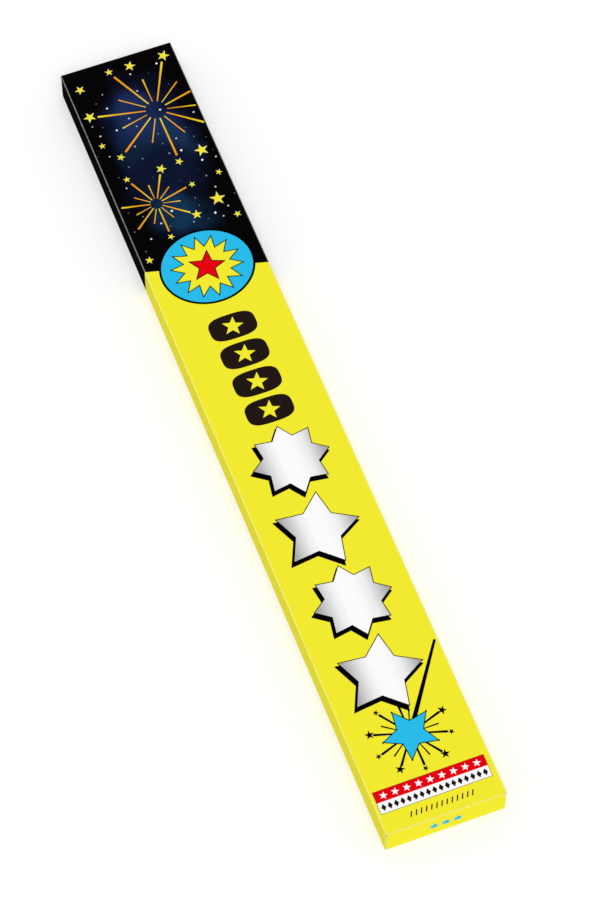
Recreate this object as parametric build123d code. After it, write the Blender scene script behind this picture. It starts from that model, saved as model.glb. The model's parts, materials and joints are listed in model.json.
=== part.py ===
from build123d import *
import math
import os

# A closed tuck-end paperboard carton of twelve long wire sparklers, lying on its back panel.
# The carton is one folded blank: four panels glued into a tube, and at each end a lid with its
# tuck flap and two dust flaps. The lids fold on the back panel's end creases and tuck in under
# the front panel. The sparklers lie loose inside, heads to -X and handles to +X.
# Frame: X runs along the carton, Y across it (-Y is the near side), Z up, z = 0 under the carton.
# All lengths are in millimetres.

# Sparklers
sparkler_length = 508.0  # 20 inches, tip to end of handle
wire_diameter = 3.0
coating_thickness = 2.0  # composition round the wire, on the radius
coating_length = 330.0
coating_shoulder = 14.0  # stretch where the coating thins towards the handle
coating_lip = 0.6  # thickness left at the thin end of the shoulder
tip_cover = 2.5  # composition beyond the wire's end

# How the sparklers lie in the carton
lower_row_count = 7
upper_row_count = 5  # these lie in the grooves of the lower row
rod_spacing = 2.95  # free width between neighbours in the lower row
rod_clearance = 0.3  # between rods of the two rows, and under the lower row
wall_clearance = 0.3  # between the outermost rods and the board beside them
headspace = 6.1  # free height above the upper row
end_play = 4.2  # slide of a sparkler each way
end_stop_gap = 0.65  # left between sparkler and dust flap at the end of its slide

# Board and folds
board = 0.45
inner_fold_radius = 0.35
crease_gap = 0.12  # between two panels that fold on one crease
crease_bead = 0.15  # radius of the bead that the tuck crease raises on its inner side
glue_flap_margin = 5.0  # from the glue flap's free edge to the front panel
glue_flap_setback = 5.0  # from the glue flap's ends to the ends of the walls

# End closures
lid_gap = 0.25  # between the lid and the dust flaps behind it
lid_side_gap = 0.5  # the lid is this much narrower than the carton on each side
front_setback = 0.2  # from the front panel's cut edge to the lid's outer face
tuck_length = 9.0
tuck_corner_radius = 5.0
tuck_side_gap = 1.5  # the tuck flap is this much narrower than the lid on each side
tuck_clearance = 0.2  # least gap under the front panel as the tuck flap swings out
dust_reach = 20.0  # from a dust flap's crease to its free edge
dust_edge_gap = 0.8  # above and below a dust flap, beyond the paths of lid and tuck flap
dust_corner_radius = 2.0

# How the flaps follow a lid as it opens: turn of the flap for each degree of the lid
tuck_fold_ratio = 0.65
dust_spring_ratio = 0.25

# Sizes that follow from the ones above
wire_radius = wire_diameter / 2
coating_diameter = wire_diameter + 2 * coating_thickness
coating_radius = coating_diameter / 2
rod_pitch = coating_diameter + rod_spacing
nest_distance = coating_diameter + rod_clearance
layer_rise = math.sqrt(max(nest_distance**2 - (rod_pitch / 2) ** 2, 0))
row_width = (lower_row_count - 1) * rod_pitch + coating_diameter

end_stack = 2 * board + lid_gap
carton_length = sparkler_length + 2 * (end_play + end_stop_gap + end_stack)
carton_width = row_width + 2 * wall_clearance + 3 * board
carton_height = 2 * board + rod_clearance + coating_diameter + layer_rise + headspace
half_length = carton_length / 2
half_width = carton_width / 2
outer_fold_radius = inner_fold_radius + board

back_end = half_length - board - crease_gap
wall_end = half_length - end_stack - crease_gap
front_end = half_length - front_setback

# Lid hinge, tuck crease and dust flap hinge at the +X end
lid_hinge_x = half_length - board / 2
lid_hinge_z = board / 2
tuck_lag = 1 - tuck_fold_ratio
tuck_drop_room = (tuck_length * tuck_lag) ** 2 / (2 * (carton_height - 2 * board)) + tuck_clearance
tuck_crease_x = half_length - board
tuck_crease_z = carton_height - 2 * board - tuck_drop_room
lid_height = tuck_crease_z - lid_hinge_z
dust_hinge_x = half_length - end_stack + board / 2
dust_hinge_y = half_width - board / 2


def tuck_fall(reach):
    """How far the lid has lowered its tuck flap when the flap's tip passes a dust flap at this reach."""
    lead = lid_height - dust_spring_ratio * reach
    lid_angle = tuck_length / lead
    return lid_angle**2 * (lid_height / 2 - tuck_lag * lead)


def tube_panels():
    """The four panels of the tube: a rounded ring, split by a mitre at each fold and drawn out along X."""
    middle = Pos(0, carton_height / 2)
    outline = RectangleRounded(carton_width, carton_height, outer_fold_radius)
    hollow = RectangleRounded(carton_width - 2 * board, carton_height - 2 * board, inner_fold_radius)
    ring = middle * (outline - hollow)
    ridge_z = carton_height / 2
    ridge_y = half_width - ridge_z
    near_top, far_top = (-half_width, carton_height), (half_width, carton_height)
    near_foot, far_foot = (-half_width, 0), (half_width, 0)
    near_ridge, far_ridge = (-ridge_y, ridge_z), (ridge_y, ridge_z)
    wedges = {
        "front_panel": [near_top, far_top, far_ridge, near_ridge],
        "back_panel": [near_foot, far_foot, far_ridge, near_ridge],
        "near_side_wall": [near_foot, near_top, near_ridge],
        "far_side_wall": [far_foot, far_top, far_ridge],
    }
    ends = {
        "front_panel": front_end,
        "back_panel": back_end,
        "near_side_wall": wall_end,
        "far_side_wall": wall_end,
    }
    panels = {}
    for name, corners in wedges.items():
        section = ring & Polygon(*corners, align=None)
        panels[name] = extrude(Plane.YZ * section, amount=ends[name], both=True)
    return panels


def glue_flap():
    """The strip that closes the tube, on the inside of the far wall, with its ends cut at 45 degrees."""
    bottom = board + inner_fold_radius
    top = carton_height - board - glue_flap_margin
    long_end = wall_end - glue_flap_setback
    short_end = long_end - (top - bottom)
    outline = Polygon(
        (-long_end, bottom),
        (long_end, bottom),
        (short_end, top),
        (-short_end, top),
        align=None,
    )
    glued_face = Plane.XZ.offset(-(half_width - board))
    return extrude(glued_face * outline, amount=board)


def lid():
    """The end lid: an upright plate with a round nose on its hinge and a mitre at its tuck crease."""
    inner_top = tuck_crease_z - crease_gap
    profile = Polygon(
        (tuck_crease_x, lid_hinge_z),
        (half_length, lid_hinge_z),
        (half_length, inner_top + board),
        (tuck_crease_x, inner_top),
        align=None,
    )
    profile += Pos(lid_hinge_x, lid_hinge_z) * Circle(board / 2)
    profile -= Pos(tuck_crease_x, tuck_crease_z) * Circle(crease_bead + crease_gap)
    return extrude(Plane.XZ * profile, amount=half_width - lid_side_gap, both=True)


def tuck_flap():
    """The flap on the lid's upper crease, under the front panel: a beaded crease and round free corners."""
    half_flap = half_width - lid_side_gap - tuck_side_gap
    tip_x = tuck_crease_x - tuck_length
    outline = Polygon(
        (tip_x, -half_flap),
        (half_length, -half_flap),
        (half_length, half_flap),
        (tip_x, half_flap),
        align=None,
    )
    free_corners = outline.vertices().sort_by(Axis.X)[:2]
    outline = fillet(free_corners, radius=tuck_corner_radius)
    plate = extrude(Pos(0, 0, tuck_crease_z) * outline, amount=board)
    below_mitre = Polygon(
        (tuck_crease_x, tuck_crease_z),
        (half_length, tuck_crease_z + board),
        (half_length, tuck_crease_z),
        align=None,
    )
    plate -= extrude(Plane.XZ * below_mitre, amount=half_width, both=True)
    bead = Pos(tuck_crease_x, tuck_crease_z) * Circle(crease_bead)
    return plate + extrude(Plane.XZ * bead, amount=half_flap, both=True)


def dust_flap():
    """The far wall's dust flap: a tapered plate behind the lid, with a round nose on its upright crease."""
    low_root = board + dust_edge_gap
    low_tip = low_root + dust_spring_ratio * dust_reach
    high_root = tuck_crease_z - dust_edge_gap - tuck_fall(0)
    high_tip = tuck_crease_z - dust_edge_gap - tuck_fall(dust_reach)
    tip_y = dust_hinge_y - dust_reach
    outline = Polygon(
        (dust_hinge_y, low_root),
        (dust_hinge_y, high_root),
        (tip_y, high_tip),
        (tip_y, low_tip),
        align=None,
    )
    free_corners = outline.vertices().sort_by(Axis.X)[:2]
    outline = fillet(free_corners, radius=dust_corner_radius)
    inner_face = Plane.YZ.offset(dust_hinge_x - board / 2)
    plate = extrude(inner_face * outline, amount=board)
    nose = Cylinder(board / 2, high_root - low_root, align=(Align.CENTER, Align.CENTER, Align.MIN))
    return plate + Pos(dust_hinge_x, dust_hinge_y, low_root) * nose


def end_closures():
    """Lid, tuck flap and dust flaps at the +X handle end, and their mirror images at the -X head end."""
    far_dust = dust_flap()
    handle_end = {
        "lid": lid(),
        "tuck_flap": tuck_flap(),
        "near_dust_flap": mirror(far_dust, about=Plane.XZ),
        "far_dust_flap": far_dust,
    }
    pieces = {}
    for name, piece in handle_end.items():
        pieces["handle_end_" + name] = piece
        pieces["head_end_" + name] = mirror(piece, about=Plane.YZ)
    return pieces


def sparkler_wire():
    """The bare steel wire on the X axis, from its covered end to the end of the handle."""
    covered_end = Plane.YZ.offset(-sparkler_length / 2 + tip_cover)
    return extrude(covered_end * Circle(wire_radius), amount=sparkler_length - tip_cover)


def sparkler_coating():
    """The dipped coating round the wire: round tip, straight body, and a shoulder thinning to the handle."""
    tip = -sparkler_length / 2
    root = tip + coating_length
    round_start = tip + coating_radius
    round_middle = coating_radius * math.sqrt(0.5)
    with BuildSketch(Plane.XZ) as profile:
        with BuildLine():
            Polyline((tip, 0), (tip + tip_cover, 0), (tip + tip_cover, wire_radius), (root, wire_radius))
            Polyline(
                (root, wire_radius),
                (root, wire_radius + coating_lip),
                (root - coating_shoulder, coating_radius),
                (round_start, coating_radius),
            )
            ThreePointArc(
                (round_start, coating_radius), (round_start - round_middle, round_middle), (tip, 0)
            )
        make_face()
    return revolve(profile.sketch, axis=Axis.X)


def sparkler_places():
    """Where each sparkler's axis lies: a lower row on the back panel, and an upper row in its grooves."""
    first_y = -board / 2 - (row_width - coating_diameter) / 2
    low_z = board + rod_clearance + coating_radius
    lower = [(first_y + i * rod_pitch, low_z) for i in range(lower_row_count)]
    upper = [(first_y + (i + 0.5) * rod_pitch, low_z + layer_rise) for i in range(upper_row_count)]
    return lower + upper


def sparklers():
    """Every sparkler's wire and coating, numbered from the near side, lower row first."""
    wire = sparkler_wire()
    coating = sparkler_coating()
    pieces = {}
    for number, (y, z) in enumerate(sparkler_places(), start=1):
        pieces[f"sparkler_{number:02d}_wire"] = Pos(0, y, z) * wire
        pieces[f"sparkler_{number:02d}_coating"] = Pos(0, y, z) * coating
    return pieces


def main():
    """Make every piece and write one STEP file for each."""
    os.makedirs("parts", exist_ok=True)
    pieces = {**tube_panels(), "glue_flap": glue_flap(), **end_closures(), **sparklers()}
    for name, piece in pieces.items():
        export_step(piece, f"parts/{name}.step")


if __name__ == "__main__":
    main()
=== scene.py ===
import json
import math

import bpy
import numpy as np
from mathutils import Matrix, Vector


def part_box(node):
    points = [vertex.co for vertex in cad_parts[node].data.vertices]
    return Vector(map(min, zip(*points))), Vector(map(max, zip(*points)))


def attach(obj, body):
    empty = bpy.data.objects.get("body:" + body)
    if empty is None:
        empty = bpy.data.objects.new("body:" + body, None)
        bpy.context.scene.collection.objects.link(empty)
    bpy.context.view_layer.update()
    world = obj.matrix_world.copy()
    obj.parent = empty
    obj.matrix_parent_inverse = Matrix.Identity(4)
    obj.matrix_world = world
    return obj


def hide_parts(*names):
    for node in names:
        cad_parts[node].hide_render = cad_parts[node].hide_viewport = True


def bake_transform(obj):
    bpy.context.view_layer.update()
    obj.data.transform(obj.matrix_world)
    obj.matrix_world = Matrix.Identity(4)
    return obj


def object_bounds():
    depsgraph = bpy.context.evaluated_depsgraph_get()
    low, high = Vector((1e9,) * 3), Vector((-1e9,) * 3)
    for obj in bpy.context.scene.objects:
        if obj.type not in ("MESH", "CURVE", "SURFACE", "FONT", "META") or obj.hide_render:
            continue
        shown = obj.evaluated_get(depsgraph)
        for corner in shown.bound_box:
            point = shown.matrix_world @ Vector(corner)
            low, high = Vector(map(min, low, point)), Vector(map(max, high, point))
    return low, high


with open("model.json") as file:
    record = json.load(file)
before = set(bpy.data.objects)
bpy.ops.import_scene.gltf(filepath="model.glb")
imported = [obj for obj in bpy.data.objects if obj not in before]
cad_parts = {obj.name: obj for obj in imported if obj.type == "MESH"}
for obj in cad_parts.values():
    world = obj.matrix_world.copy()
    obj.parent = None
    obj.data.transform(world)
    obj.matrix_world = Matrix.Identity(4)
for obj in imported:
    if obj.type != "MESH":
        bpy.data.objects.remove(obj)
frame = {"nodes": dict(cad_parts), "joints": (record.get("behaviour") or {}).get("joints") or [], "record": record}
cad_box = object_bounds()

# A closed tuck-end carton of wire sparklers, lying on its back. Lengths are metres in the frame of
# the solids: X along the carton (+X is the handle end), Y across it (-Y is the near side), Z up.
MM = 0.001

# Sizes that come from the frame
half_length, half_width, height = cad_box[1]
joints = {joint["name"]: joint for joint in frame["joints"]}
couplings = {c["joint"]: c["ratio"] for c in frame["record"]["behaviour"]["couplings"]}
lid_hinge = joints["handle_end_lid_hinge"]["pos_m"]
tuck_crease = joints["handle_end_tuck_crease"]["pos_m"]
dust_hinge = joints["handle_end_far_dust_hinge"]["pos_m"]
lid_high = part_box("handle_end_lid")[1]
tuck_low, tuck_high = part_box("handle_end_tuck_flap")
dust_low, dust_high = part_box("handle_end_far_dust_flap")
board = dust_high.x - dust_low.x
front_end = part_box("front_panel")[1].x

# Folds, as the board takes them
fold_radius = 0.8 * MM
crease_radius = 0.4 * MM
crease_run = 0.2 * MM
tuck_corner = 5.0 * MM
dust_corner = 2.0 * MM
dust_top_slope = 0.072
# Width of the paler band along folds and cut edges: scuffed ink and a painted edge highlight
worn_edge = 0.6 * MM

# Material slots of a piece of board: its outer face's two finishes, its inner face and its cut edge
first_slot, second_slot, inner_slot, edge_slot = range(4)

# The coating of a sparkler where it thins to the bare handle
coating_lip = 0.6 * MM
coating_shoulder = 14.0 * MM

# The print: where the night end meets the yellow, and how thick a layer of ink stands
split_middle = -104.1 * MM
split_slope = 0.272
ink_layer = 0.015 * MM
ink_depth = 0.02 * MM


# Meshes

def make_piece(name, points, faces, materials, face_slots=None, sharp_degrees=40.0, attributes=None):
    """A mesh object at the origin from an array of points and a list of face index arrays."""
    mesh = bpy.data.meshes.new(name)
    polygons = [row for block in faces for row in block.tolist()]
    mesh.from_pydata(points.reshape(-1, 3).tolist(), [], polygons)
    for material in materials:
        mesh.materials.append(material)
    if face_slots is not None:
        mesh.polygons.foreach_set("material_index", np.concatenate(face_slots).astype(np.int32))
    for attribute, values in (attributes or {}).items():
        layer = mesh.attributes.new(attribute, "FLOAT", "POINT")
        layer.data.foreach_set("value", np.asarray(values, np.float32).ravel())
    mesh.shade_smooth()
    mesh.set_sharp_from_angle(angle=math.radians(sharp_degrees))
    mesh.update()
    piece = bpy.data.objects.new(name, mesh)
    bpy.context.scene.collection.objects.link(piece)
    return piece


def grid_faces(rows, columns, first=0, ring=False):
    """Quads of a grid of points stored row by row from index first; a ring closes on its first column."""
    index = first + np.arange(rows * columns).reshape(rows, columns)
    if ring:
        index = np.hstack([index, index[:, :1]])
    return np.stack([index[:-1, :-1], index[1:, :-1], index[1:, 1:], index[:-1, 1:]], -1).reshape(-1, 4)


def strip_faces(one, other):
    """Quads between two rows of as many point indices."""
    return np.stack([one[:-1], other[:-1], other[1:], one[1:]], -1)


def mirrored(points, faces, mirror_x, mirror_y):
    """Points reflected in X or Y as asked, with faces turned round when the reflection swaps hands."""
    flipped = points * np.array([-1 if mirror_x else 1, -1 if mirror_y else 1, 1])
    if mirror_x != mirror_y:
        faces = [block[:, ::-1] for block in faces]
    return flipped, faces


# The tube of the carton

def tube_section(inset):
    """Rounded rectangle of the tube, inset from its outer face, as (y, z), and how folded each point is.

    Each corner is a quarter circle about the fold's centre, and the fold weight rises and falls over it as
    half a sine wave. The walls have points level with the dust flaps' roots.
    """
    arc_steps, flat_steps = 8, 6
    radius = fold_radius - inset
    share = np.linspace(0, 1, arc_steps + 1)
    centre_y, low_z, high_z = half_width - fold_radius, fold_radius, height - fold_radius
    panel_share = np.linspace(0, 1, flat_steps + 1)[1:-1]
    wall_share = (high_z - np.linspace(dust_high.z, dust_low.z, flat_steps)) / (high_z - low_z)
    flats = [panel_share, wall_share, panel_share, 1 - wall_share[::-1]]
    corners = [
        (-centre_y, high_z, 180),
        (centre_y, high_z, 90),
        (centre_y, low_z, 0),
        (-centre_y, low_z, -90),
    ]
    arcs = []
    for y, z, start in corners:
        angle = np.radians(start - 90 * share)
        arcs.append(np.stack([y + radius * np.cos(angle), z + radius * np.sin(angle)], -1))
    points, folds = [], []
    for arc, following, flat in zip(arcs, arcs[1:] + arcs[:1], flats):
        points += [arc, arc[-1] + flat[:, None] * (following[0] - arc[-1])]
        folds += [np.sin(np.pi * share), np.zeros(len(flat))]
    return np.concatenate(points), np.concatenate(folds)


def tube_ends(section):
    """End of the tube at each section point, and where that end is a cut edge and not a crease.

    The front panel runs on to its cut edge; the back and the walls stop at their creases. Above and below a
    dust flap's root the wall's end slopes in step with the height to the next panel's end.
    """
    wall_end = dust_hinge[0] - crease_radius - crease_run
    back_end = lid_hinge[0] - crease_radius - crease_run
    z = section[:, 1]
    up = np.clip((z - dust_high.z) / (height - fold_radius - dust_high.z), 0, 1)
    down = np.clip((dust_low.z - z) / (dust_low.z - fold_radius), 0, 1)
    return wall_end + up * (front_end - wall_end) + down * (back_end - wall_end), up > 0


def carton_sleeve(yellow, night, inside, cut_edge):
    """The glued tube: outer and inner section carried along X, with one row of points on the slanted split.

    A point's x runs from one end to the split and from the split to the other end in equal steps, with a
    narrow step at each end for the band of scuffed ink and painted edge highlight.
    """
    night_steps, yellow_steps, cut_wear_and_highlight = 6, 10, 0.5
    outer, folds = tube_section(0.0)
    inner, _ = tube_section(board)
    ends, cut = tube_ends(outer)
    split = split_middle + split_slope * outer[:, 0]
    stations = [-ends, *np.linspace(-ends + worn_edge, split, night_steps)]
    stations += [*np.linspace(split, ends - worn_edge, yellow_steps)[1:], ends]
    x = np.array(stations)
    rows, columns = x.shape

    points = np.empty((2, rows, columns, 3))
    points[..., 0] = x
    points[0, ..., 1:] = outer
    points[1, ..., 1:] = inner
    outside = grid_faces(rows, columns, 0, ring=True)
    inside_faces = grid_faces(rows, columns, rows * columns, ring=True)[:, ::-1]
    loop = np.append(np.arange(columns), 0)
    last = loop + (rows - 1) * columns
    head_rim = strip_faces(loop, loop + rows * columns)[:, ::-1]
    handle_rim = strip_faces(last, last + rows * columns)
    night_faces = night_steps * columns
    slots = [
        np.full(night_faces, second_slot),
        np.full(len(outside) - night_faces, first_slot),
        np.full(len(inside_faces), inner_slot),
        np.full(len(head_rim) + len(handle_rim), edge_slot),
    ]
    # The fold attribute marks where the paler colour goes: scuffed ink and a painted highlight along the folds and
    # cut ends
    wear_and_highlight = np.zeros((2, rows, columns))
    wear_and_highlight[0] = folds
    wear_and_highlight[0, [0, -1]] = np.maximum(folds, cut_wear_and_highlight * cut)
    return make_piece(
        "carton_sleeve",
        points,
        [outside, inside_faces, head_rim, handle_rim],
        [yellow, night, inside, cut_edge],
        slots,
        attributes={"fold": wear_and_highlight},
    )


# Flaps that fold on a crease

def folded_path(start, corner, end, radius):
    """Middle line of a flap: straight from start to a round crease at the corner, then straight to end.

    Gives points, outward normals (to the outside of the bend), fold weights and lengths along the line.
    """
    arc_steps, first_steps, last_steps = 8, 2, 24
    start, corner, end = (np.array(p, float) for p in (start, corner, end))
    first = (corner - start) / np.linalg.norm(corner - start)
    last = (end - corner) / np.linalg.norm(end - corner)
    centre = corner - radius * first + radius * last
    angle = np.linspace(0, np.pi / 2, arc_steps + 1)[:, None]
    arc = centre + radius * (np.sin(angle) * first - np.cos(angle) * last)
    run_in = start + np.linspace(0, 1, first_steps + 1)[:-1, None] * (arc[0] - start)
    ease = np.sin(np.linspace(0, np.pi / 2, last_steps + 1))[1:, None]
    run_out = arc[-1] + ease * (end - arc[-1])
    line = np.concatenate([run_in, arc, run_out])
    normals = np.concatenate(
        [np.tile(-last, (first_steps, 1)), (arc - centre) / radius, np.tile(first, (last_steps, 1))]
    )
    folds = np.concatenate([np.zeros(first_steps), np.sin(2 * angle[:, 0]), np.zeros(last_steps)])
    lengths = np.r_[0, np.cumsum(np.linalg.norm(np.diff(line, axis=0), axis=1))]
    return line, normals, folds, lengths


def rounded_inset(lengths, corner):
    """How far a flap's edge draws in near its free end: a quarter circle of the corner's radius."""
    past = np.clip(lengths - (lengths[-1] - corner), 0, corner)
    return corner - np.sqrt(corner**2 - past**2)


def board_flap(name, line, normals, folds, low_edge, high_edge, materials, printed_share, mirror):
    """A sheet of board along a middle line, from its low edge to its high edge across it.

    The line's points and normals have three parts, with nothing along the direction across; the edges give
    the reach across at each point of the line. Outer and inner faces stand half a board either side.
    """
    steps, crease_wear_and_highlight, side_wear_and_highlight = 12, 0.65, 0.55
    rows, columns = len(line), steps + 1
    across = np.where(np.abs(line).sum(0) == 0)[0][0]
    worn_share = worn_edge / (high_edge - low_edge).max()
    shares = np.r_[0, np.linspace(worn_share, 1 - worn_share, steps - 1), 1]
    reach = low_edge[:, None] + shares * (high_edge - low_edge)[:, None]
    sides = []
    for side in (0.5, -0.5):
        face = np.repeat((line + side * board * normals)[:, None, :], columns, axis=1)
        face[..., across] = reach
        sides.append(face)
    points = np.stack(sides)
    outside = grid_faces(rows, columns)
    inside = grid_faces(rows, columns, rows * columns)[:, ::-1]
    index = np.arange(rows * columns).reshape(rows, columns)
    rim = np.concatenate([index[0, :-1], index[:-1, -1], index[-1, :0:-1], index[::-1, 0]])
    edge = strip_faces(rim, rim + rows * columns)[:, ::-1]
    handed = np.cross(points[0, 1, 0] - points[0, 0, 0], points[0, 0, 1] - points[0, 0, 0]) @ normals[0]
    faces = [outside, inside, edge]
    if handed < 0:
        faces = [block[:, ::-1] for block in faces]
    printed_rows = int(round(printed_share * (rows - 1)))
    outer_slots = np.where(np.arange(rows - 1) < printed_rows, first_slot, second_slot)
    slots = [
        np.repeat(outer_slots, steps),
        np.full(len(inside), inner_slot),
        np.full(len(edge), edge_slot),
    ]
    # Paler colour along the crease and the side edges: scuffed ink and a painted edge highlight
    wear_and_highlight = np.zeros((2, rows, columns))
    wear_and_highlight[0] = crease_wear_and_highlight * folds[:, None]
    wear_and_highlight[0, :, [0, -1]] = side_wear_and_highlight
    points, faces = mirrored(points, faces, *mirror)
    return make_piece(name, points, faces, materials, slots, attributes={"fold": wear_and_highlight})


def end_flaps(end, sign, materials):
    """Lid, tuck flap and two dust flaps at one end, each with the crease that joins it to its neighbour.

    They are worked out at the +X end and reflected for the other; each blends across its own crease. The
    print covers the named share of each flap's outer face, from its crease on.
    """
    lid_printed, tuck_printed, dust_printed = 1.0, 0.5, 0.45
    mirror_x = sign < 0
    bend = crease_radius + crease_run
    lid_x, lid_z = lid_hinge[0], lid_hinge[2]
    tuck_z = tuck_crease[2] + board / 2
    lid_top = tuck_z - bend

    def across_joint(piece, child):
        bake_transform(piece)
        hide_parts(child)

    path = folded_path((lid_x - bend, 0, lid_z), (lid_x, 0, lid_z), (lid_x, 0, lid_top), crease_radius)
    half_lid = np.full(len(path[0]), lid_high.y)
    name = f"{end}_lid_board"
    lid = board_flap(name, *path[:3], -half_lid, half_lid, materials, lid_printed, (mirror_x, False))
    across_joint(lid, f"{end}_lid")

    path = folded_path((lid_x, 0, lid_top), (lid_x, 0, tuck_z), (tuck_low.x, 0, tuck_z), crease_radius)
    past_crease = np.clip(path[3] / (2 * bend), 0, 1)
    half_tuck = lid_high.y + past_crease * (tuck_high.y - lid_high.y) - rounded_inset(path[3], tuck_corner)
    name = f"{end}_tuck_board"
    tuck = board_flap(name, *path[:3], -half_tuck, half_tuck, materials, tuck_printed, (mirror_x, False))
    across_joint(tuck, f"{end}_tuck_flap")

    dust_x, dust_y = dust_hinge[0], dust_hinge[1]
    root, past_root = (dust_x - bend, dust_y, 0), (dust_x, dust_y - bend, 0)
    path = folded_path(root, (dust_x, dust_y, 0), (dust_x, dust_low.y, 0), crease_radius)
    reach = np.clip(path[3] - bend, 0, None)
    inset = rounded_inset(path[3], dust_corner)
    low_slope = couplings["handle_end_far_dust_hinge"]
    low_edge = dust_low.z + low_slope * reach + inset
    high_edge = dust_high.z - dust_top_slope * reach - inset
    for side, mirror_y in (("far", False), ("near", True)):
        name = f"{end}_{side}_dust_board"
        mirror = (mirror_x, mirror_y)
        dust = board_flap(name, *path[:3], low_edge, high_edge, materials, dust_printed, mirror)
        across_joint(dust, f"{end}_{side}_dust_flap")


# Sparklers

def dipped_coating(number, wire_axis, material):
    """The composition on one wire: a round tip, a lumpy body and a shoulder that thins to the handle.

    The radius along X is a half circle at the tip, then straight, then a slope; to it are added waves in X
    and round the rod, of random length, turn and phase, which fade where the coating ends.
    """
    around, along, tip_rings, first_seed = 28, 190, 12, 700
    lump_height, lump_low, lump_high, skin = 0.028 * MM, -0.16 * MM, 0.13 * MM, 0.06 * MM
    shortest_wave, usual_wave, longest_wave = 3 * MM, 20 * MM, 45 * MM
    wave_count, wave_growth, most_turns = 16, 0.3, 4
    node = f"sparkler_{number:02d}_coating"
    low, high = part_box(node)
    radius = (high.z - low.z) / 2
    wire_radius = wire_axis[2]
    root_radius = wire_radius + coating_lip
    tip_steps = np.linspace(0, np.pi / 2, tip_rings)[1:]
    tip_x = radius * (1 - np.cos(tip_steps))
    length = high.x - low.x
    x = np.concatenate([tip_x, np.linspace(radius, length, along)[1:]])
    body = np.minimum(radius, root_radius + (radius - root_radius) * (length - x) / coating_shoulder)
    body[: len(tip_x)] = radius * np.sin(tip_steps)
    random = np.random.default_rng(first_seed + number)
    theta = np.linspace(0, 2 * np.pi, around, endpoint=False)
    wave = np.zeros((len(x), around))
    for spacing in np.geomspace(shortest_wave, longest_wave, wave_count):
        turns, phase = random.integers(0, most_turns + 1), random.uniform(0, 2 * np.pi)
        strength = (spacing / usual_wave) ** wave_growth
        wave += strength * np.sin(2 * np.pi * x[:, None] / spacing + turns * theta + phase)
    lumps = lump_height * np.clip(body / radius, 0, 1)[:, None] * wave
    rough = body[:, None] - skin + np.clip(lumps, lump_low, lump_high)
    points = np.stack(
        [
            np.broadcast_to(low.x + x[:, None], rough.shape),
            wire_axis[0] + rough * np.cos(theta),
            wire_axis[1] + rough * np.sin(theta),
        ],
        -1,
    ).reshape(-1, 3)
    tip = [low.x, wire_axis[0], wire_axis[1]]
    root = [high.x, wire_axis[0], wire_axis[1]]
    count = len(points)
    points = np.concatenate([points, [tip, root]])
    ring = np.append(np.arange(around), 0)
    last = ring + count - around
    tip_fan = np.stack([np.full(around, count), ring[1:], ring[:-1]], -1)
    root_fan = np.stack([np.full(around, count + 1), last[:-1], last[1:]], -1)
    body_faces = grid_faces(len(x), around, ring=True)[:, ::-1]
    piece = make_piece(f"{node}_dipped", points, [body_faces, tip_fan, root_fan], [material])
    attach(piece, f"sparkler_{number:02d}")
    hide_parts(node)


# Printed figures, as flat outlines in the panel's own (u, v); a ray has cap_points round each of its ends
cap_points = 5


def star(points, outer, inner, turn=0.0):
    """Outline of a star: outer and inner radius in turn, at equal angles, from a turn given in degrees."""
    angle = np.radians(turn) + np.arange(2 * points) * np.pi / points
    radius = np.where(np.arange(2 * points) % 2 == 0, outer, inner)
    return np.stack([radius * np.cos(angle), radius * np.sin(angle)], -1)


def spark(half_u, half_v, pinch, steps=10):
    """Outline of a four-pointed figure: the curve where (|u| / half_u)^pinch + (|v| / half_v)^pinch is 1.

    A pinch under 1 draws its sides in to a spark, and one well over 2 swells them to a round-cornered plate.
    """
    angle = np.arange(4 * steps) * np.pi / (2 * steps)
    c, s = np.cos(angle), np.sin(angle)
    return np.stack(
        [half_u * np.sign(c) * np.abs(c) ** (2 / pinch), half_v * np.sign(s) * np.abs(s) ** (2 / pinch)], -1
    )


def oval(half_u, half_v, steps=64):
    """Outline of an ellipse."""
    angle = np.arange(steps) * 2 * np.pi / steps
    return np.stack([half_u * np.cos(angle), half_v * np.sin(angle)], -1)


def band(half_u, half_v):
    """Outline of a rectangle."""
    return np.array([(-half_u, -half_v), (half_u, -half_v), (half_u, half_v), (-half_u, half_v)])


def ray(start, end, start_width, end_width):
    """Outline of a round-ended bar from one point to another, its middle, and its shade along it.

    A half circle of each end's width stands about its end; the shade is the share of the way, from 0 to 1.
    """
    start, end = np.array(start, float), np.array(end, float)
    along = end - start
    half_turn = math.atan2(along[1], along[0]) + np.linspace(-np.pi / 2, np.pi / 2, cap_points)
    caps = [(end, half_turn, end_width), (start, half_turn + np.pi, start_width)]
    outline = np.concatenate([c + w / 2 * np.stack([np.cos(a), np.sin(a)], -1) for c, a, w in caps])
    shades = np.clip((outline - start) @ along / (along @ along), 0, 1)
    middle = (start + end) / 2
    return outline - middle, middle, np.append(shades, 0.5)


def grown(outline, margin):
    """An outline moved out by a margin: each corner along its mitre, no further than three margins."""
    edge = np.roll(outline, -1, 0) - outline
    after = np.stack([edge[:, 1], -edge[:, 0]], -1) / np.linalg.norm(edge, axis=1)[:, None]
    mitre = after + np.roll(after, 1, 0)
    mitre /= np.linalg.norm(mitre, axis=1)[:, None]
    stretch = 1 / np.clip((mitre * after).sum(1), 1 / 3, 1)
    return outline + margin * mitre * stretch[:, None]


def on_front(u, v, lift):
    """A print point on the front panel: u along X, v along Y."""
    return np.stack([u, v, height + lift], -1)


def on_back(u, v, lift):
    """A print point on the back panel, seen from below with X still to the right."""
    return np.stack([u, -v, -lift], -1)


def on_handle_lid(u, v, lift):
    """A print point on the handle end's lid: u along Y, v up from the middle."""
    return np.stack([half_length + lift, u, height / 2 + v], -1)


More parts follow.
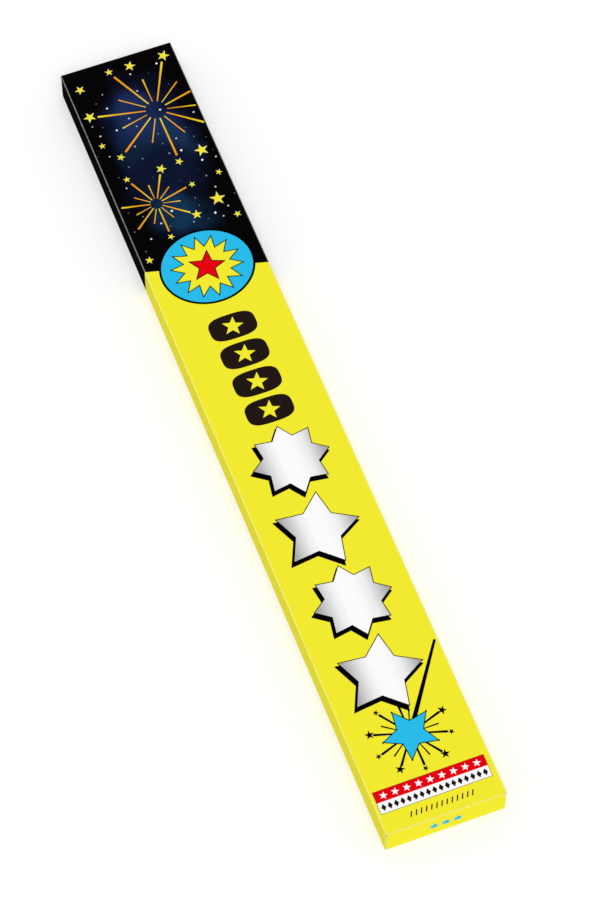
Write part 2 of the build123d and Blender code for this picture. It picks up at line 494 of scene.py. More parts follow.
def ink(name, figures, layer, material, surface=on_front, body="carton"):
    """One layer of ink: for each (outline, centre) or (outline, centre, shades) a thin closed plate.

    A plate is a fan about its centre on top, the same fan below, and a wall between. Outlines run
    anticlockwise as seen from outside. Shades are given for the outline's points and then the centre.
    """
    points, top, wall, bottom, shades = [], [], [], [], []
    first = 0
    for figure in figures:
        outline, centre = figure[0], np.array(figure[1], float)
        count = len(outline)
        flat = np.concatenate([outline, [[0.0, 0.0]]]) + centre
        shade = figure[2] if len(figure) > 2 else np.zeros(count + 1)
        for lift in (layer * ink_layer, -ink_depth):
            points.append(surface(flat[:, 0], flat[:, 1], np.full(count + 1, lift)))
            shades.append(shade)
        ring = np.append(np.arange(count), 0)
        middle = np.full(count, first + count)
        below = count + 1
        top.append(np.stack([first + ring[:-1], first + ring[1:], middle], -1))
        bottom.append(np.stack([first + ring[1:] + below, first + ring[:-1] + below, middle + below], -1))
        wall.append(strip_faces(first + ring, first + ring + below))
        first += 2 * below
    faces = [np.concatenate(top), np.concatenate(bottom), np.concatenate(wall)]
    cloud = np.concatenate(points)
    piece = make_piece(name, cloud, faces, [material], attributes={"shade": np.concatenate(shades)})
    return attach(piece, body)


# Materials

def node_input(tree, node, name, value):
    """Sets a node's input to a plain value, or links it where the value is another node's output."""
    if isinstance(value, bpy.types.NodeSocket):
        tree.links.new(value, node.inputs[name])
    else:
        node.inputs[name].default_value = value


def add_node(tree, kind, settings=None, **inputs):
    """A shader node with its settings and inputs; an input named i0, i1 and so on goes by its number."""
    node = tree.nodes.new(kind)
    for name, value in (settings or {}).items():
        setattr(node, name, value)
    for name, value in inputs.items():
        key = int(name[1:]) if name[0] == "i" and name[1:].isdigit() else name.replace("_", " ")
        node_input(tree, node, key, value)
    return node


def math_node(tree, operation, *values):
    """The result of a Math node on up to three values."""
    node = add_node(tree, "ShaderNodeMath", {"operation": operation})
    for number, value in enumerate(values):
        node_input(tree, node, number, value)
    return node.outputs[0]


def ramp(tree, value, stops, ease="LINEAR"):
    """A Color Ramp of (position, colour) stops over a value."""
    node = add_node(tree, "ShaderNodeValToRGB", i0=value)
    node.color_ramp.interpolation = ease
    elements = node.color_ramp.elements
    while len(elements) < len(stops):
        elements.new(0.5)
    for element, (position, colour) in zip(elements, stops):
        element.position = position
        element.color = (*colour, 1.0)
    return node.outputs[0]


def mix_colour(tree, factor, one, other, blend="MIX"):
    """A colour between two others, or their blend, by a factor."""
    node = add_node(tree, "ShaderNodeMix", {"data_type": "RGBA", "blend_type": blend})
    for name, value in (("Factor_Float", factor), ("A_Color", one), ("B_Color", other)):
        socket = next(s for s in node.inputs if s.identifier == name)
        if isinstance(value, bpy.types.NodeSocket):
            tree.links.new(value, socket)
        else:
            socket.default_value = (*value, 1.0) if isinstance(value, tuple) else value
    return next(s for s in node.outputs if s.identifier == "Result_Color")


def noise(tree, vector, scale, detail, roughness=0.55):
    """Value of a noise texture with so many features a metre."""
    settings = dict(Vector=vector, Scale=scale, Detail=detail, Roughness=roughness)
    return add_node(tree, "ShaderNodeTexNoise", **settings).outputs[0]


def new_group(name, inputs, outputs):
    """An empty shader node group with float sockets, and its input and output nodes."""
    group = bpy.data.node_groups.new(name, "ShaderNodeTree")
    for name_in, default in inputs.items():
        socket = group.interface.new_socket(name_in, in_out="INPUT", socket_type="NodeSocketFloat")
        socket.default_value = default
    for name_out in outputs:
        group.interface.new_socket(name_out, in_out="OUTPUT", socket_type="NodeSocketFloat")
    return group, group.nodes.new("NodeGroupInput"), group.nodes.new("NodeGroupOutput")


def print_grain_group():
    """Tone, gloss and relief of ink on coated board: soft mottle, fine tooth of the paper, slow waves."""
    mottle_scale, tooth_scale, wave_scale = 260.0, 5200.0, 34.0
    mottle_share, tooth_share, tooth_relief, gloss_spread = 0.6, 1.4, 0.05, 0.18
    outputs = ("Tone", "Roughness", "Height")
    group, given, result = new_group("print_grain", {"Mottle": 0.05, "Gloss": 0.4}, outputs)
    place = add_node(group, "ShaderNodeTexCoord").outputs["Object"]
    mottle = noise(group, place, mottle_scale, 3.0)
    tooth = noise(group, place, tooth_scale, 2.0)
    wave = noise(group, place, wave_scale, 1.0)
    fine = math_node(group, "MULTIPLY", tooth, tooth_share)
    spread = math_node(group, "MULTIPLY_ADD", mottle, mottle_share, fine)
    centred = math_node(group, "SUBTRACT", spread, (mottle_share + tooth_share) / 2)
    tone = math_node(group, "MULTIPLY_ADD", centred, given.outputs["Mottle"], 1.0)
    patches = math_node(group, "SUBTRACT", mottle, 0.5)
    gloss = math_node(group, "MULTIPLY_ADD", patches, gloss_spread, given.outputs["Gloss"])
    relief = math_node(group, "ADD", math_node(group, "MULTIPLY", tooth, tooth_relief), wave)
    group.links.new(tone, result.inputs["Tone"])
    group.links.new(gloss, result.inputs["Roughness"])
    group.links.new(relief, result.inputs["Height"])
    return group


def fold_wear_and_highlight_group():
    """Mask of scuffed ink and painted edge highlight: the piece's fold weight, sharpened and broken up by noise
    along the crease.
    """
    fleck_scale, fleck_low, fleck_high, least_share, sharpness = 900.0, 0.32, 0.62, 0.45, 2.0
    group, given, result = new_group("fold_wear_and_highlight", {"Amount": 0.8}, ("Mask",))
    fold = add_node(group, "ShaderNodeAttribute", {"attribute_name": "fold"}).outputs["Fac"]
    place = add_node(group, "ShaderNodeTexCoord").outputs["Object"]
    flecks = noise(group, place, fleck_scale, 3.0)
    broken = add_node(group, "ShaderNodeMapRange", Value=flecks, From_Min=fleck_low, From_Max=fleck_high)
    share = math_node(group, "MULTIPLY_ADD", broken.outputs[0], 1 - least_share, least_share)
    sharp = math_node(group, "POWER", fold, sharpness)
    mask = math_node(group, "MULTIPLY", math_node(group, "MULTIPLY", sharp, share), given.outputs["Amount"])
    group.links.new(mask, result.inputs["Mask"])
    return group


def new_material(name):
    """A material with a Principled shader, and its node tree."""
    material = bpy.data.materials.new(name)
    material.use_nodes = True
    return material, material.node_tree, material.node_tree.nodes["Principled BSDF"]


def finish_print(tree, shader, colour, sheen=0.003, mottle=0.06, gloss=0.42, worn=None, wear_and_highlight=0.8):
    """Puts a printed colour on the shader, with the grain of the board and a paler colour on its folds that is
    scuffed ink and a painted edge highlight.
    """
    relief_strength, relief_depth = 0.12, 0.3 * MM
    grain = add_node(tree, "ShaderNodeGroup", {"node_tree": print_grain}, Mottle=mottle, Gloss=gloss)
    if worn is not None:
        # The paler fold colour is partly scuffed ink and partly a painted highlight along the folds and edges
        mask = add_node(tree, "ShaderNodeGroup", {"node_tree": fold_wear_and_highlight}, Amount=wear_and_highlight).outputs["Mask"]
        colour = mix_colour(tree, mask, colour, worn)
    tone = grain.outputs["Tone"]
    grey = add_node(tree, "ShaderNodeCombineColor", Red=tone, Green=tone, Blue=tone).outputs[0]
    tree.links.new(mix_colour(tree, 1.0, colour, grey, "MULTIPLY"), shader.inputs["Base Color"])
    tree.links.new(grain.outputs["Roughness"], shader.inputs["Roughness"])
    relief = dict(Strength=relief_strength, Distance=relief_depth, Height=grain.outputs["Height"])
    bump = add_node(tree, "ShaderNodeBump", **relief)
    tree.links.new(bump.outputs[0], shader.inputs["Normal"])
    shader.inputs["Specular IOR Level"].default_value = sheen


def plain_ink(name, colour, **finish):
    """One flat printing ink on the board."""
    material, tree, shader = new_material(name)
    finish_print(tree, shader, colour, **finish)
    return material


def object_part(tree, part):
    """One part, X, Y or Z, of the place on the object, in metres."""
    place = add_node(tree, "ShaderNodeTexCoord").outputs["Object"]
    return add_node(tree, "ShaderNodeSeparateXYZ", Vector=place).outputs[part]


def silver_ink(name):
    """Grey to white to grey across the panel, as a printed chrome blend."""
    material, tree, shader = new_material(name)
    across = math_node(tree, "MULTIPLY_ADD", object_part(tree, "Y"), 1 / (2 * silver_reach), 0.5)
    edge, flank, middle = (0.41, 0.41, 0.415), (0.85, 0.85, 0.85), (0.97, 0.97, 0.97)
    stops = [(0.1, edge), (0.3, flank), (0.4, middle), (0.56, middle), (0.71, flank), (0.9, edge)]
    finish_print(tree, shader, ramp(tree, across, stops), gloss=0.36)
    return material


def shaded_ink(name, stops):
    """An ink that runs through its stops with the shade of the figure that it prints."""
    material, tree, shader = new_material(name)
    shade = add_node(tree, "ShaderNodeAttribute", {"attribute_name": "shade"}).outputs["Fac"]
    finish_print(tree, shader, ramp(tree, shade, stops))
    return material


def night_print_material():
    """Night sky: black, with a blue cloud on the front panel, thicker along wisps, and grey folds that are scuffed
    ink and a painted edge highlight.

    The cloud is the distance from its middle, in half lengths of an ellipsoid, warped by noise and eased to
    black; a wisp stands where a second noise is near its mean.
    """
    cloud_middle = (-187 * MM, 0.0, height)
    cloud_half = (78 * MM, 34 * MM, 15 * MM)
    swirl_scale, wisp_scale, patch_scale, swirl_reach, thin_share = 24.0, 15.0, 19.0, 1.1, 0.4
    # The grey on the folds is scuffed ink and a painted edge highlight
    green_tint, worn_grey = (0.0055, 0.036, 0.08), (0.42, 0.41, 0.40)
    stops = [(0.0, (0.0021, 0.0016, 0.0017)), (0.4, (0.0045, 0.008, 0.026)), (1.0, (0.0125, 0.027, 0.105))]
    material, tree, shader = new_material("night_print")
    soft = {"interpolation_type": "SMOOTHSTEP"}
    place = add_node(tree, "ShaderNodeTexCoord").outputs["Object"]
    centred = add_node(tree, "ShaderNodeMapping", Vector=place)
    centred.inputs["Location"].default_value = [-m / h for m, h in zip(cloud_middle, cloud_half)]
    centred.inputs["Scale"].default_value = [1 / h for h in cloud_half]
    away = add_node(tree, "ShaderNodeVectorMath", {"operation": "LENGTH"}, i0=centred.outputs[0])
    swirl = math_node(tree, "SUBTRACT", noise(tree, place, swirl_scale, 3.0), 0.5)
    edge = math_node(tree, "MULTIPLY_ADD", swirl, swirl_reach, away.outputs["Value"])
    cloud = add_node(tree, "ShaderNodeMapRange", soft, Value=edge, From_Min=0.92, From_Max=0.42)
    ripple = math_node(tree, "SUBTRACT", noise(tree, place, wisp_scale, 1.5), 0.5)
    crest = math_node(tree, "ABSOLUTE", ripple)
    wisp = add_node(tree, "ShaderNodeMapRange", soft, Value=crest, From_Min=0.14, From_Max=0.0)
    thick = math_node(tree, "MULTIPLY_ADD", wisp.outputs[0], 1 - thin_share, thin_share)
    depth = math_node(tree, "MULTIPLY", cloud.outputs[0], thick)
    patch = noise(tree, place, patch_scale, 1.0)
    green = add_node(tree, "ShaderNodeMapRange", soft, Value=patch, From_Min=0.54, From_Max=0.7)
    tint = math_node(tree, "MULTIPLY", green.outputs[0], depth)
    sky = mix_colour(tree, tint, ramp(tree, depth, stops), green_tint)
    finish_print(tree, shader, sky, sheen=0.0002, mottle=0.5, gloss=0.55, worn=worn_grey, wear_and_highlight=0.95)
    return material


def board_material(name, colour, dark, streak):
    """Unprinted board: short pale and dark fibres laid along the carton, with a felted relief."""
    lay, fibre_scale, cloud_scale, fibre_share = (0.35, 1.0, 1.0), 1500.0, 120.0, 0.65
    least_rough, fibre_rough, sheen = 0.78, 0.15, 0.2
    material, tree, shader = new_material(name)
    place = add_node(tree, "ShaderNodeTexCoord").outputs["Object"]
    laid = add_node(tree, "ShaderNodeMapping", Vector=place)
    laid.inputs["Scale"].default_value = lay
    fibre = noise(tree, laid.outputs[0], fibre_scale, 4.0, 0.65)
    cloud = noise(tree, place, cloud_scale, 2.0)
    clouded = math_node(tree, "MULTIPLY", cloud, 1 - fibre_share)
    share = math_node(tree, "MULTIPLY_ADD", fibre, fibre_share, clouded)
    shade = ramp(tree, share, [(0.5 - streak, dark), (0.5 + streak, colour)])
    tree.links.new(shade, shader.inputs["Base Color"])
    rough = math_node(tree, "MULTIPLY_ADD", fibre, fibre_rough, least_rough)
    tree.links.new(rough, shader.inputs["Roughness"])
    bump = add_node(tree, "ShaderNodeBump", Strength=0.25, Distance=0.2 * MM, Height=fibre)
    tree.links.new(bump.outputs[0], shader.inputs["Normal"])
    shader.inputs["Specular IOR Level"].default_value = sheen
    return material


def wire_material():
    """Drawn steel wire: long fine draw marks, and a few dull oxide patches."""
    draw, mark_scale, patch_scale, oxide = (0.02, 1.0, 1.0), 4200.0, 140.0, (0.16, 0.12, 0.095)
    dark_steel, bright_steel = (0.34, 0.33, 0.32), (0.58, 0.56, 0.54)
    least_rough, mark_rough, dull_rough, dull_metal = 0.26, 0.2, 0.3, 0.5
    material, tree, shader = new_material("drawn_wire")
    place = add_node(tree, "ShaderNodeTexCoord").outputs["Object"]
    drawn = add_node(tree, "ShaderNodeMapping", Vector=place)
    drawn.inputs["Scale"].default_value = draw
    marks = noise(tree, drawn.outputs[0], mark_scale, 3.0)
    patch = noise(tree, place, patch_scale, 4.0)
    dull = add_node(tree, "ShaderNodeMapRange", Value=patch, From_Min=0.5, From_Max=0.72).outputs[0]
    steel = ramp(tree, marks, [(0.3, dark_steel), (0.7, bright_steel)])
    tree.links.new(mix_colour(tree, dull, steel, oxide), shader.inputs["Base Color"])
    tree.links.new(math_node(tree, "MULTIPLY_ADD", dull, dull_metal - 1, 1.0), shader.inputs["Metallic"])
    bright_rough = math_node(tree, "MULTIPLY_ADD", marks, mark_rough, least_rough)
    rough = math_node(tree, "MULTIPLY_ADD", dull, dull_rough, bright_rough)
    tree.links.new(rough, shader.inputs["Roughness"])
    bump = add_node(tree, "ShaderNodeBump", Strength=0.2, Distance=0.1 * MM, Height=marks)
    tree.links.new(bump.outputs[0], shader.inputs["Normal"])
    return material


def coating_material():
    """Dipped composition: rough dark grey, mottled, with bright metal flecks and fine grit in relief."""
    mottle_scale, grit_scale, cell_scale, fleck_least = 240.0, 2600.0, 1900.0, 0.9
    dark_grey, pale_grey, fleck_metal = (0.085, 0.08, 0.075), (0.21, 0.20, 0.19), (0.62, 0.58, 0.5)
    grey_rough, fleck_polish, mottle_relief = 0.88, 0.5, 1.5
    material, tree, shader = new_material("dipped_composition")
    place = add_node(tree, "ShaderNodeTexCoord").outputs["Object"]
    mottle = noise(tree, place, mottle_scale, 4.0)
    grit = noise(tree, place, grit_scale, 3.0)
    cells = add_node(tree, "ShaderNodeTexVoronoi", Vector=place, Scale=cell_scale)
    parts = add_node(tree, "ShaderNodeSeparateColor", Color=cells.outputs["Color"])
    fleck = math_node(tree, "GREATER_THAN", parts.outputs["Red"], fleck_least)
    grey = ramp(tree, mottle, [(0.3, dark_grey), (0.7, pale_grey)])
    tree.links.new(mix_colour(tree, fleck, grey, fleck_metal), shader.inputs["Base Color"])
    tree.links.new(fleck, shader.inputs["Metallic"])
    rough = math_node(tree, "MULTIPLY_ADD", fleck, -fleck_polish, grey_rough)
    tree.links.new(rough, shader.inputs["Roughness"])
    relief = math_node(tree, "ADD", grit, math_node(tree, "MULTIPLY", mottle, mottle_relief))
    bump = add_node(tree, "ShaderNodeBump", Strength=0.6, Distance=0.4 * MM, Height=relief)
    tree.links.new(bump.outputs[0], shader.inputs["Normal"])
    return material


# Prints

def five_star(place, size, turn):
    """A five-pointed star with shades that grow to its tips."""
    waist, tip_shade, waist_shade = 0.4, 1.0, 0.35
    shades = np.append(np.tile([tip_shade, waist_shade], 5), 0.0)
    return star(5, size, waist * size, turn), place, shades


def burst_rays(centre, count, inner, long, short, width):
    """Rays round a centre, long and short in turn, widening outwards, cut short where they meet a fold.

    A ray's room is the way to the fold over the slope of the ray. Every other pair has its shade reversed.
    """
    first_turn, short_width, root_width = 0.02, 0.65, 0.6
    rays = []
    for number, angle in enumerate((np.arange(count) + first_turn) * 2 * np.pi / count):
        way = np.array([math.cos(angle), math.sin(angle)])
        reach, thickness = (long, width) if number % 2 == 0 else (short, short_width * width)
        room = (panel_edge - np.sign(way[1]) * centre[1]) / abs(way[1])
        if min(reach, room) > inner + thickness:
            end = way * min(reach, room)
            outline, middle, shades = ray(way * inner, end, root_width * thickness, thickness)
            rays.append((outline, middle + centre, shades if number % 4 < 2 else 1 - shades))
    return rays


def tip_stars(centre, count, reach, size):
    """Stars on a circle round a centre, small and large in turn; those too near a fold are left out."""
    turn_step, small, large = 25, 0.8, 1.2
    angles = np.arange(count) * 2 * np.pi / count
    places = np.array(centre) + reach * np.stack([np.cos(angles), np.sin(angles)], -1)
    sizes = size * np.where(np.arange(count) % 2 == 0, small, large)
    inside = np.abs(places[:, 1]) + sizes < panel_edge
    return [five_star(places[i], sizes[i], turn_step * i) for i in np.flatnonzero(inside)]


def way_to_rays(places, rays):
    """How far each place is from the nearest ray: the way to the closest point between the ray's ends."""
    end_tip = cap_points // 2
    start_tip = cap_points + end_tip
    starts = np.array([middle + outline[start_tip] for outline, middle, _ in rays])
    along = np.array([middle + outline[end_tip] for outline, middle, _ in rays]) - starts
    share = ((places[:, None] - starts) * along).sum(-1) / (along**2).sum(-1)
    closest = starts + np.clip(share, 0, 1)[..., None] * along
    return np.linalg.norm(places[:, None] - closest, axis=-1).min(1)


def night_sky_print():
    """Bursts of gold rays with stars at their tips, single stars, and white dots clear of them all.

    Dots fall at random, and one that lies too near an earlier dot is left out.
    """
    dot_count, dot_low, dot_high, dot_steps, dot_seed = 130, 0.25 * MM, 0.7 * MM, 10, 41
    dot_gap, crowd_gap, end_margin, split_margin = 2 * MM, 5 * MM, 2 * MM, 12 * MM
    star_way, star_size = 4, 2.6  # in widths of the ray
    # Each burst: centre, count of rays, inner, long and short reach, width
    bursts = [
        ((-217 * MM, 10 * MM), 14, 6.5 * MM, 34 * MM, 23 * MM, 1.25 * MM),
        ((-155 * MM, -12 * MM), 14, 3.8 * MM, 20 * MM, 13.5 * MM, 1.05 * MM),
    ]
    # Each single star: place, size, turn in degrees
    single_stars = [
        ((-252 * MM, 6 * MM), 3.6 * MM, 12),
        ((-181 * MM, 25 * MM), 4.4 * MM, 40),
        ((-163 * MM, 29 * MM), 2.2 * MM, 5),
        ((-146 * MM, 22 * MM), 4.8 * MM, 25),
        ((-132 * MM, 29 * MM), 2.4 * MM, 48),
        ((-246 * MM, -27 * MM), 3.2 * MM, 55),
        ((-120 * MM, -29 * MM), 2.6 * MM, 18),
        ((-204 * MM, -28 * MM), 2.2 * MM, 30),
    ]
    rays, stars, keep_clear = [], [], [(badge, badge_half[1] + dot_gap)]
    for centre, count, inner, long, short, width in bursts:
        rays += burst_rays(centre, count, inner, long, short, width)
        stars += tip_stars(centre, count // 2, long + star_way * width, star_size * width)
    stars += [five_star(*given) for given in single_stars]
    keep_clear += [(centre, dot_gap + np.abs(outline).max()) for outline, centre, _ in stars]
    random = np.random.default_rng(dot_seed)
    corners = (-half_length + end_margin, -panel_edge), (split_middle - split_margin, panel_edge)
    places = random.uniform(*corners, (dot_count, 2))
    between = np.linalg.norm(places[:, None] - places, axis=-1)
    crowded = np.tril(between < crowd_gap, -1).any(1)
    clear = (way_to_rays(places, rays) > dot_gap) & ~crowded
    for centre, reach in keep_clear:
        clear &= np.linalg.norm(places - np.array(centre), axis=1) > reach
    shine = random.uniform(0, 1, dot_count)
    sizes = dot_low + shine * (dot_high - dot_low)
    dots = []
    for i in np.flatnonzero(clear):
        dots.append((oval(sizes[i], sizes[i], dot_steps), places[i], np.full(dot_steps + 1, shine[i])))
    ink("sky_rays_ink", rays, 1, ray_ink)
    ink("sky_stars_ink", stars, 2, star_ink)
    ink("sky_dots_ink", dots, 1, dot_ink)


def badge_print():
    """A blue oval on the split, with a black rim, a yellow flare of many points and a red star on it."""
    rim, line = 1.3 * MM, 0.6 * MM
    flare = star(14, outer=20 * MM, inner=13 * MM)
    middle = star(5, outer=9.8 * MM, inner=4.3 * MM, turn=90)
    ink("badge_rim_ink", [(oval(*badge_half), badge)], 3, deep_black_ink)
    ink("badge_disc_ink", [(oval(*(badge_half - rim)), badge)], 4, blue_ink)
    ink("badge_flare_rim_ink", [(grown(flare, line), badge)], 5, deep_black_ink)
    ink("badge_flare_ink", [(flare, badge)], 6, badge_yellow_ink)
    ink("badge_star_rim_ink", [(grown(middle, line), badge)], 7, deep_black_ink)
    ink("badge_star_ink", [(middle, badge)], 8, red_ink)


def black_row_print():
    """Four round-cornered black plates in a row, each with a yellow star in it."""
    first_x, last_x, count = -61.8 * MM, -3.2 * MM, 4
    plate = spark(half_u=8.2 * MM, half_v=13.8 * MM, pinch=3.2)
    small_star = star(5, outer=6.4 * MM, inner=2.7 * MM, turn=90)
    places = [(x, 0.0) for x in np.linspace(first_x, last_x, count)]
    ink("black_row_ink", [(plate, place) for place in places], 2, black_ink)
    ink("black_row_stars_ink", [(small_star, place) for place in places], 3, badge_yellow_ink)


def silver_row_print():
    """Flares of eight points and stars in turn, each outlined and with a drop shadow."""
    line, shadow_line, shadow_shift = 0.5 * MM, 0.9 * MM, np.array([2.0, -1.5]) * MM
    flare = star(8, outer=22 * MM, inner=15.2 * MM)
    big_star = star(5, outer=23.5 * MM, inner=12.8 * MM, turn=90)
    first_x, last_x, count, star_y = 30.9 * MM, 171.6 * MM, 4, -2.2 * MM
    figures = []
    for number, x in enumerate(np.linspace(first_x, last_x, count)):
        figures.append((flare, (x, 0.0)) if number % 2 == 0 else (big_star, (x, star_y)))
    shadows = [(grown(outline, shadow_line), centre + shadow_shift) for outline, centre in figures]
    ink("silver_shadow_ink", shadows, 3, deep_black_ink)
    ink("silver_rim_ink", [(grown(outline, line), centre) for outline, centre in figures], 4, deep_black_ink)
    ink("silver_row_ink", figures, 5, silver)


def handle_burst_print():
    """A black burst on a stick, with small stars at its tips and a blue star in its middle."""
    centre = np.array((209.8 * MM, -0.5 * MM))
    stick_end, stick_room, line = (163 * MM, 32 * MM), 4 * MM, 0.5 * MM
    burst = dict(count=20, inner=5 * MM, long=19.4 * MM, short=15.8 * MM, width=1.45 * MM)
    rays = [figure[:2] for figure in burst_rays(centre, **burst)]
    stick = ray(centre, stick_end, start_width=2.8 * MM, end_width=1.5 * MM)
    tips = tip_stars(centre, count=10, reach=21.8 * MM, size=2.4 * MM)
    off_stick = way_to_rays(np.array([place for _, place, _ in tips]), [stick]) > stick_room
    stars = [tip[:2] for tip, clear in zip(tips, off_stick) if clear]
    middle = star(5, outer=15 * MM, inner=7.2 * MM, turn=54)
    ink("burst_rays_ink", rays, 1, deep_black_ink)
    ink("burst_stick_ink", [stick[:2]], 2, deep_black_ink)
    ink("burst_stars_ink", stars, 1, deep_black_ink)
    ink("burst_middle_rim_ink", [(grown(middle, line), centre)], 6, deep_black_ink)
    ink("burst_middle_ink", [(middle, centre)], 7, blue_ink)


def band_print():
    """A red band with white stars, a white band with black diamonds, their outline, and a row of strokes."""
    half_band, half_reach, middle_y, line = 3.25 * MM, 31.4 * MM, -0.7 * MM, 0.25 * MM
    red_x, strokes_x = 238.3 * MM, 253.4 * MM
    white_x = red_x + 2 * half_band
    outline = band(2 * half_band + line, half_reach + line)
    star_places = middle_y + np.linspace(-26.5 * MM, 26.5 * MM, 9)
    diamond_places = middle_y + np.linspace(-28.8 * MM, 28.8 * MM, 17)
    stroke_places = np.linspace(-17.4 * MM, 17.4 * MM, 13)
    small_star = star(5, outer=2.3 * MM, inner=1.0 * MM, turn=90)
    diamond = star(2, outer=2.1 * MM, inner=1.4 * MM)
    stroke_end = np.array((1.3 * MM, -0.6 * MM))
    stroke, _, _ = ray(-stroke_end, stroke_end, start_width=0.7 * MM, end_width=0.7 * MM)
    ink("band_rim_ink", [(outline, ((red_x + white_x) / 2, middle_y))], 1, black_ink)
    ink("band_red_ink", [(band(half_band, half_reach), (red_x, middle_y))], 2, red_ink)
    ink("band_white_ink", [(band(half_band, half_reach), (white_x, middle_y))], 2, white_ink)
    ink("band_stars_ink", [(small_star, (red_x, y)) for y in star_places], 3, white_ink)
    ink("band_diamonds_ink", [(diamond, (white_x, y)) for y in diamond_places], 3, black_ink)
    ink("band_strokes_ink", [(stroke, (strokes_x, y)) for y in stroke_places], 1, black_ink)


def lid_print():
    """Three small blue stars near the middle of the handle end's lid."""
    step, low = 6.7 * MM, -0.3 * MM
    small_star = star(5, outer=3.1 * MM, inner=1.65 * MM, turn=90)
    figures = [(small_star, (y, low)) for y in (-step, 0.0, step)]
    ink("handle_lid_stars_ink", figures, 1, blue_ink, on_handle_lid, "handle_end_lid")


def back_print():
    """A row of black stars and sparks along the back panel, and a few stars in its night end."""
    first_x, last_x, count = -40 * MM, 200 * MM, 9
    flash = spark(half_u=7 * MM, half_v=15 * MM, pinch=0.75)
    black_star = star(5, outer=8 * MM, inner=3.5 * MM, turn=90)
    figures = []
    for number, x in enumerate(np.linspace(first_x, last_x, count)):
        figures.append((flash if number % 2 == 0 else black_star, (x, 0.0)))
    stars = [
        five_star((-235 * MM, 15 * MM), 3.4 * MM, 10),
        five_star((-205 * MM, -12 * MM), 2.6 * MM, 35),
        five_star((-165 * MM, 10 * MM), 3.8 * MM, 60),
        five_star((-140 * MM, -16 * MM), 2.4 * MM, 20),
    ]
    ink("back_row_ink", figures, 1, black_ink, on_back)
    ink("back_stars_ink", stars, 1, star_ink, on_back)


# Floor, light and camera

def seen_directly(tree):
    """One for rays from the camera, straight, reflected or through glass, and nought for all the rest."""
    path = add_node(tree, "ShaderNodeLightPath")
    seen = math_node(tree, "MAXIMUM", path.outputs["Is Camera Ray"], path.outputs["Is Glossy Ray"])
    return math_node(tree, "MAXIMUM", seen, path.outputs["Is Transmission Ray"])


def studio():
    """A wide pale floor just under the carton, soft light all round and a broad key light."""
    floor_half, floor_drop, floor_glow, floor_rough = 6.0, 0.05 * MM, 0.36, 0.9
    floor_lit, floor_seen = (0.92, 0.92, 0.92), (0.66, 0.66, 0.66)
    key_spread, key_tilt, key_turn = math.radians(40), math.radians(32), math.radians(-6)
    mesh = bpy.data.meshes.new("floor")
    corners = floor_half * np.array([(-1, -1), (1, -1), (1, 1), (-1, 1)])
    mesh.from_pydata([(x, y, -floor_drop) for x, y in corners], [], [(0, 1, 2, 3)])
    floor = bpy.data.objects.new("floor", mesh)
    bpy.context.scene.collection.objects.link(floor)
    material, tree, shader = new_material("floor_white")
    seen = seen_directly(tree)
    tree.links.new(mix_colour(tree, seen, floor_lit, floor_seen), shader.inputs["Base Color"])
    shader.inputs["Roughness"].default_value = floor_rough
    shader.inputs["Specular IOR Level"].default_value = 0.0
    shader.inputs["Emission Color"].default_value = (1, 1, 1, 1)
    glow = math_node(tree, "MULTIPLY", seen, floor_glow)
    tree.links.new(glow, shader.inputs["Emission Strength"])
    mesh.materials.append(material)

    world = bpy.data.worlds.new("studio")
    bpy.context.scene.world = world
    world.use_nodes = True
    tree = world.node_tree
    background = tree.nodes["Background"]
    background.inputs["Color"].default_value = (1, 1, 1, 1)
    strength = math_node(tree, "MULTIPLY_ADD", seen_directly(tree), 1 - ambient, ambient)
    tree.links.new(strength, background.inputs["Strength"])

    lamp = bpy.data.lights.new("key", "SUN")
    lamp.energy = key_share * math.pi
    lamp.angle = key_spread
    key = bpy.data.objects.new("key", lamp)
    key.rotation_euler = (0, key_tilt, key_turn)
    bpy.context.scene.collection.objects.link(key)


def photo_camera():
    """The camera fitted to the carton's outline in the photograph, on a frame of 600 by 911 pixels."""
    azimuth, elevation, distance = math.radians(69.0931), math.radians(60.1614), 2.08168
    target = np.array((19.81 * MM, 9.40 * MM, 0.0))
    focal_pixels, frame_height, sensor = 3724.49, 911, 36.0
    back = np.array((
        math.sin(azimuth) * math.cos(elevation),
        -math.cos(azimuth) * math.cos(elevation),
        math.sin(elevation),
    ))
    data = bpy.data.cameras.new("camera")
    data.sensor_width = sensor
    data.lens = focal_pixels * sensor / frame_height
    data.clip_end = 50
    camera = bpy.data.objects.new("camera", data)
    camera.location = target + back * distance
    camera.rotation_euler = (math.pi / 2 - elevation, 0, azimuth)
    bpy.context.scene.collection.objects.link(camera)
    bpy.context.scene.camera = camera


# The inks, board and metals of this carton

print_grain = print_grain_group()
fold_wear_and_highlight = fold_wear_and_highlight_group()
silver_reach = 24 * MM

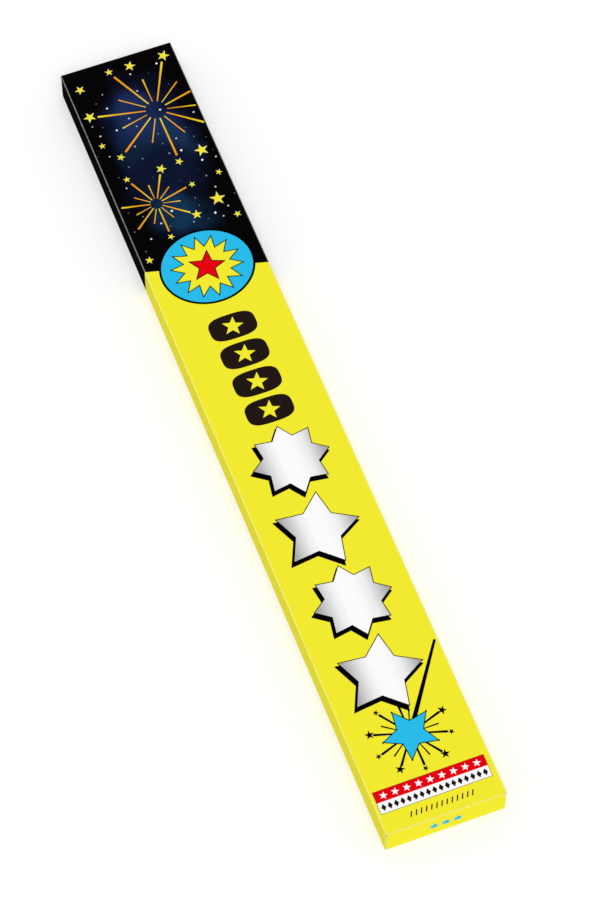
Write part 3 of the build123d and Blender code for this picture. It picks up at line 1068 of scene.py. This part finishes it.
print_yellow = (0.893, 0.826, 0.030)
# The pale fold colour is scuffed ink and a painted highlight along folds and edges
yellow_print = plain_ink("yellow_print", print_yellow, worn=(0.98, 0.955, 0.47))
night_print = night_print_material()
black_ink = plain_ink("black_ink", (0.015, 0.0085, 0.007))
deep_black_ink = plain_ink("deep_black_ink", (0.0014, 0.0007, 0.0007), sheen=0.0003, mottle=0.3)
blue_ink = plain_ink("blue_ink", (0.0225, 0.495, 0.825))
red_ink = plain_ink("red_ink", (0.785, 0.001, 0.006))
white_ink = plain_ink("white_ink", (0.95, 0.95, 0.95), mottle=0.04)
badge_yellow_ink = plain_ink("badge_yellow_ink", print_yellow)
star_stops = [(0.0, (0.89, 0.78, 0.03)), (0.6, (0.87, 0.77, 0.06)), (1.0, (0.84, 0.82, 0.55))]
star_ink = shaded_ink("star_ink", star_stops)
ray_stops = [(0.0, (0.85, 0.70, 0.025)), (0.45, (0.86, 0.43, 0.012)), (1.0, (0.84, 0.31, 0.006))]
ray_ink = shaded_ink("ray_ink", ray_stops)
dot_ink = shaded_ink("dot_ink", [(0.0, (0.10, 0.11, 0.14)), (1.0, (0.93, 0.93, 0.93))])
silver = silver_ink("silver_ink")
white_board = board_material("white_board", (0.80, 0.79, 0.75), (0.66, 0.65, 0.61), 0.25)
grey_board = board_material("grey_board", (0.56, 0.53, 0.48), (0.33, 0.31, 0.28), 0.22)
cut_board = board_material("cut_board", (0.82, 0.78, 0.53), (0.66, 0.62, 0.38), 0.2)
drawn_wire = wire_material()
composition = coating_material()

# The carton's board

sleeve = carton_sleeve(yellow_print, night_print, grey_board, cut_board)
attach(sleeve, "carton")
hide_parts("front_panel", "back_panel", "near_side_wall", "far_side_wall")
end_flaps("handle_end", 1, (yellow_print, white_board, grey_board, cut_board))
end_flaps("head_end", -1, (night_print, white_board, grey_board, cut_board))
frame["nodes"]["glue_flap"].material_slots[0].material = grey_board

# The sparklers

for node_name, node in frame["nodes"].items():
    if node_name.endswith("_wire"):
        node.material_slots[0].material = drawn_wire
        wire_low, wire_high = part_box(node_name)
        wire_middle = (wire_low + wire_high) / 2
        axis = (wire_middle.y, wire_middle.z, (wire_high.z - wire_low.z) / 2)
        dipped_coating(int(node_name.split("_")[1]), axis, composition)

# The print

badge = np.array((-104.6 * MM, 0.35 * MM))
badge_half = np.array((25.2 * MM, 27.8 * MM))
panel_edge = half_width - 2 * fold_radius
night_sky_print()
badge_print()
black_row_print()
silver_row_print()
handle_burst_print()
band_print()
lid_print()
back_print()

# The floor, the light and the camera

ambient = 0.6
key_share = 0.47
studio()
photo_camera()
bpy.context.scene.view_settings.view_transform = "Standard"
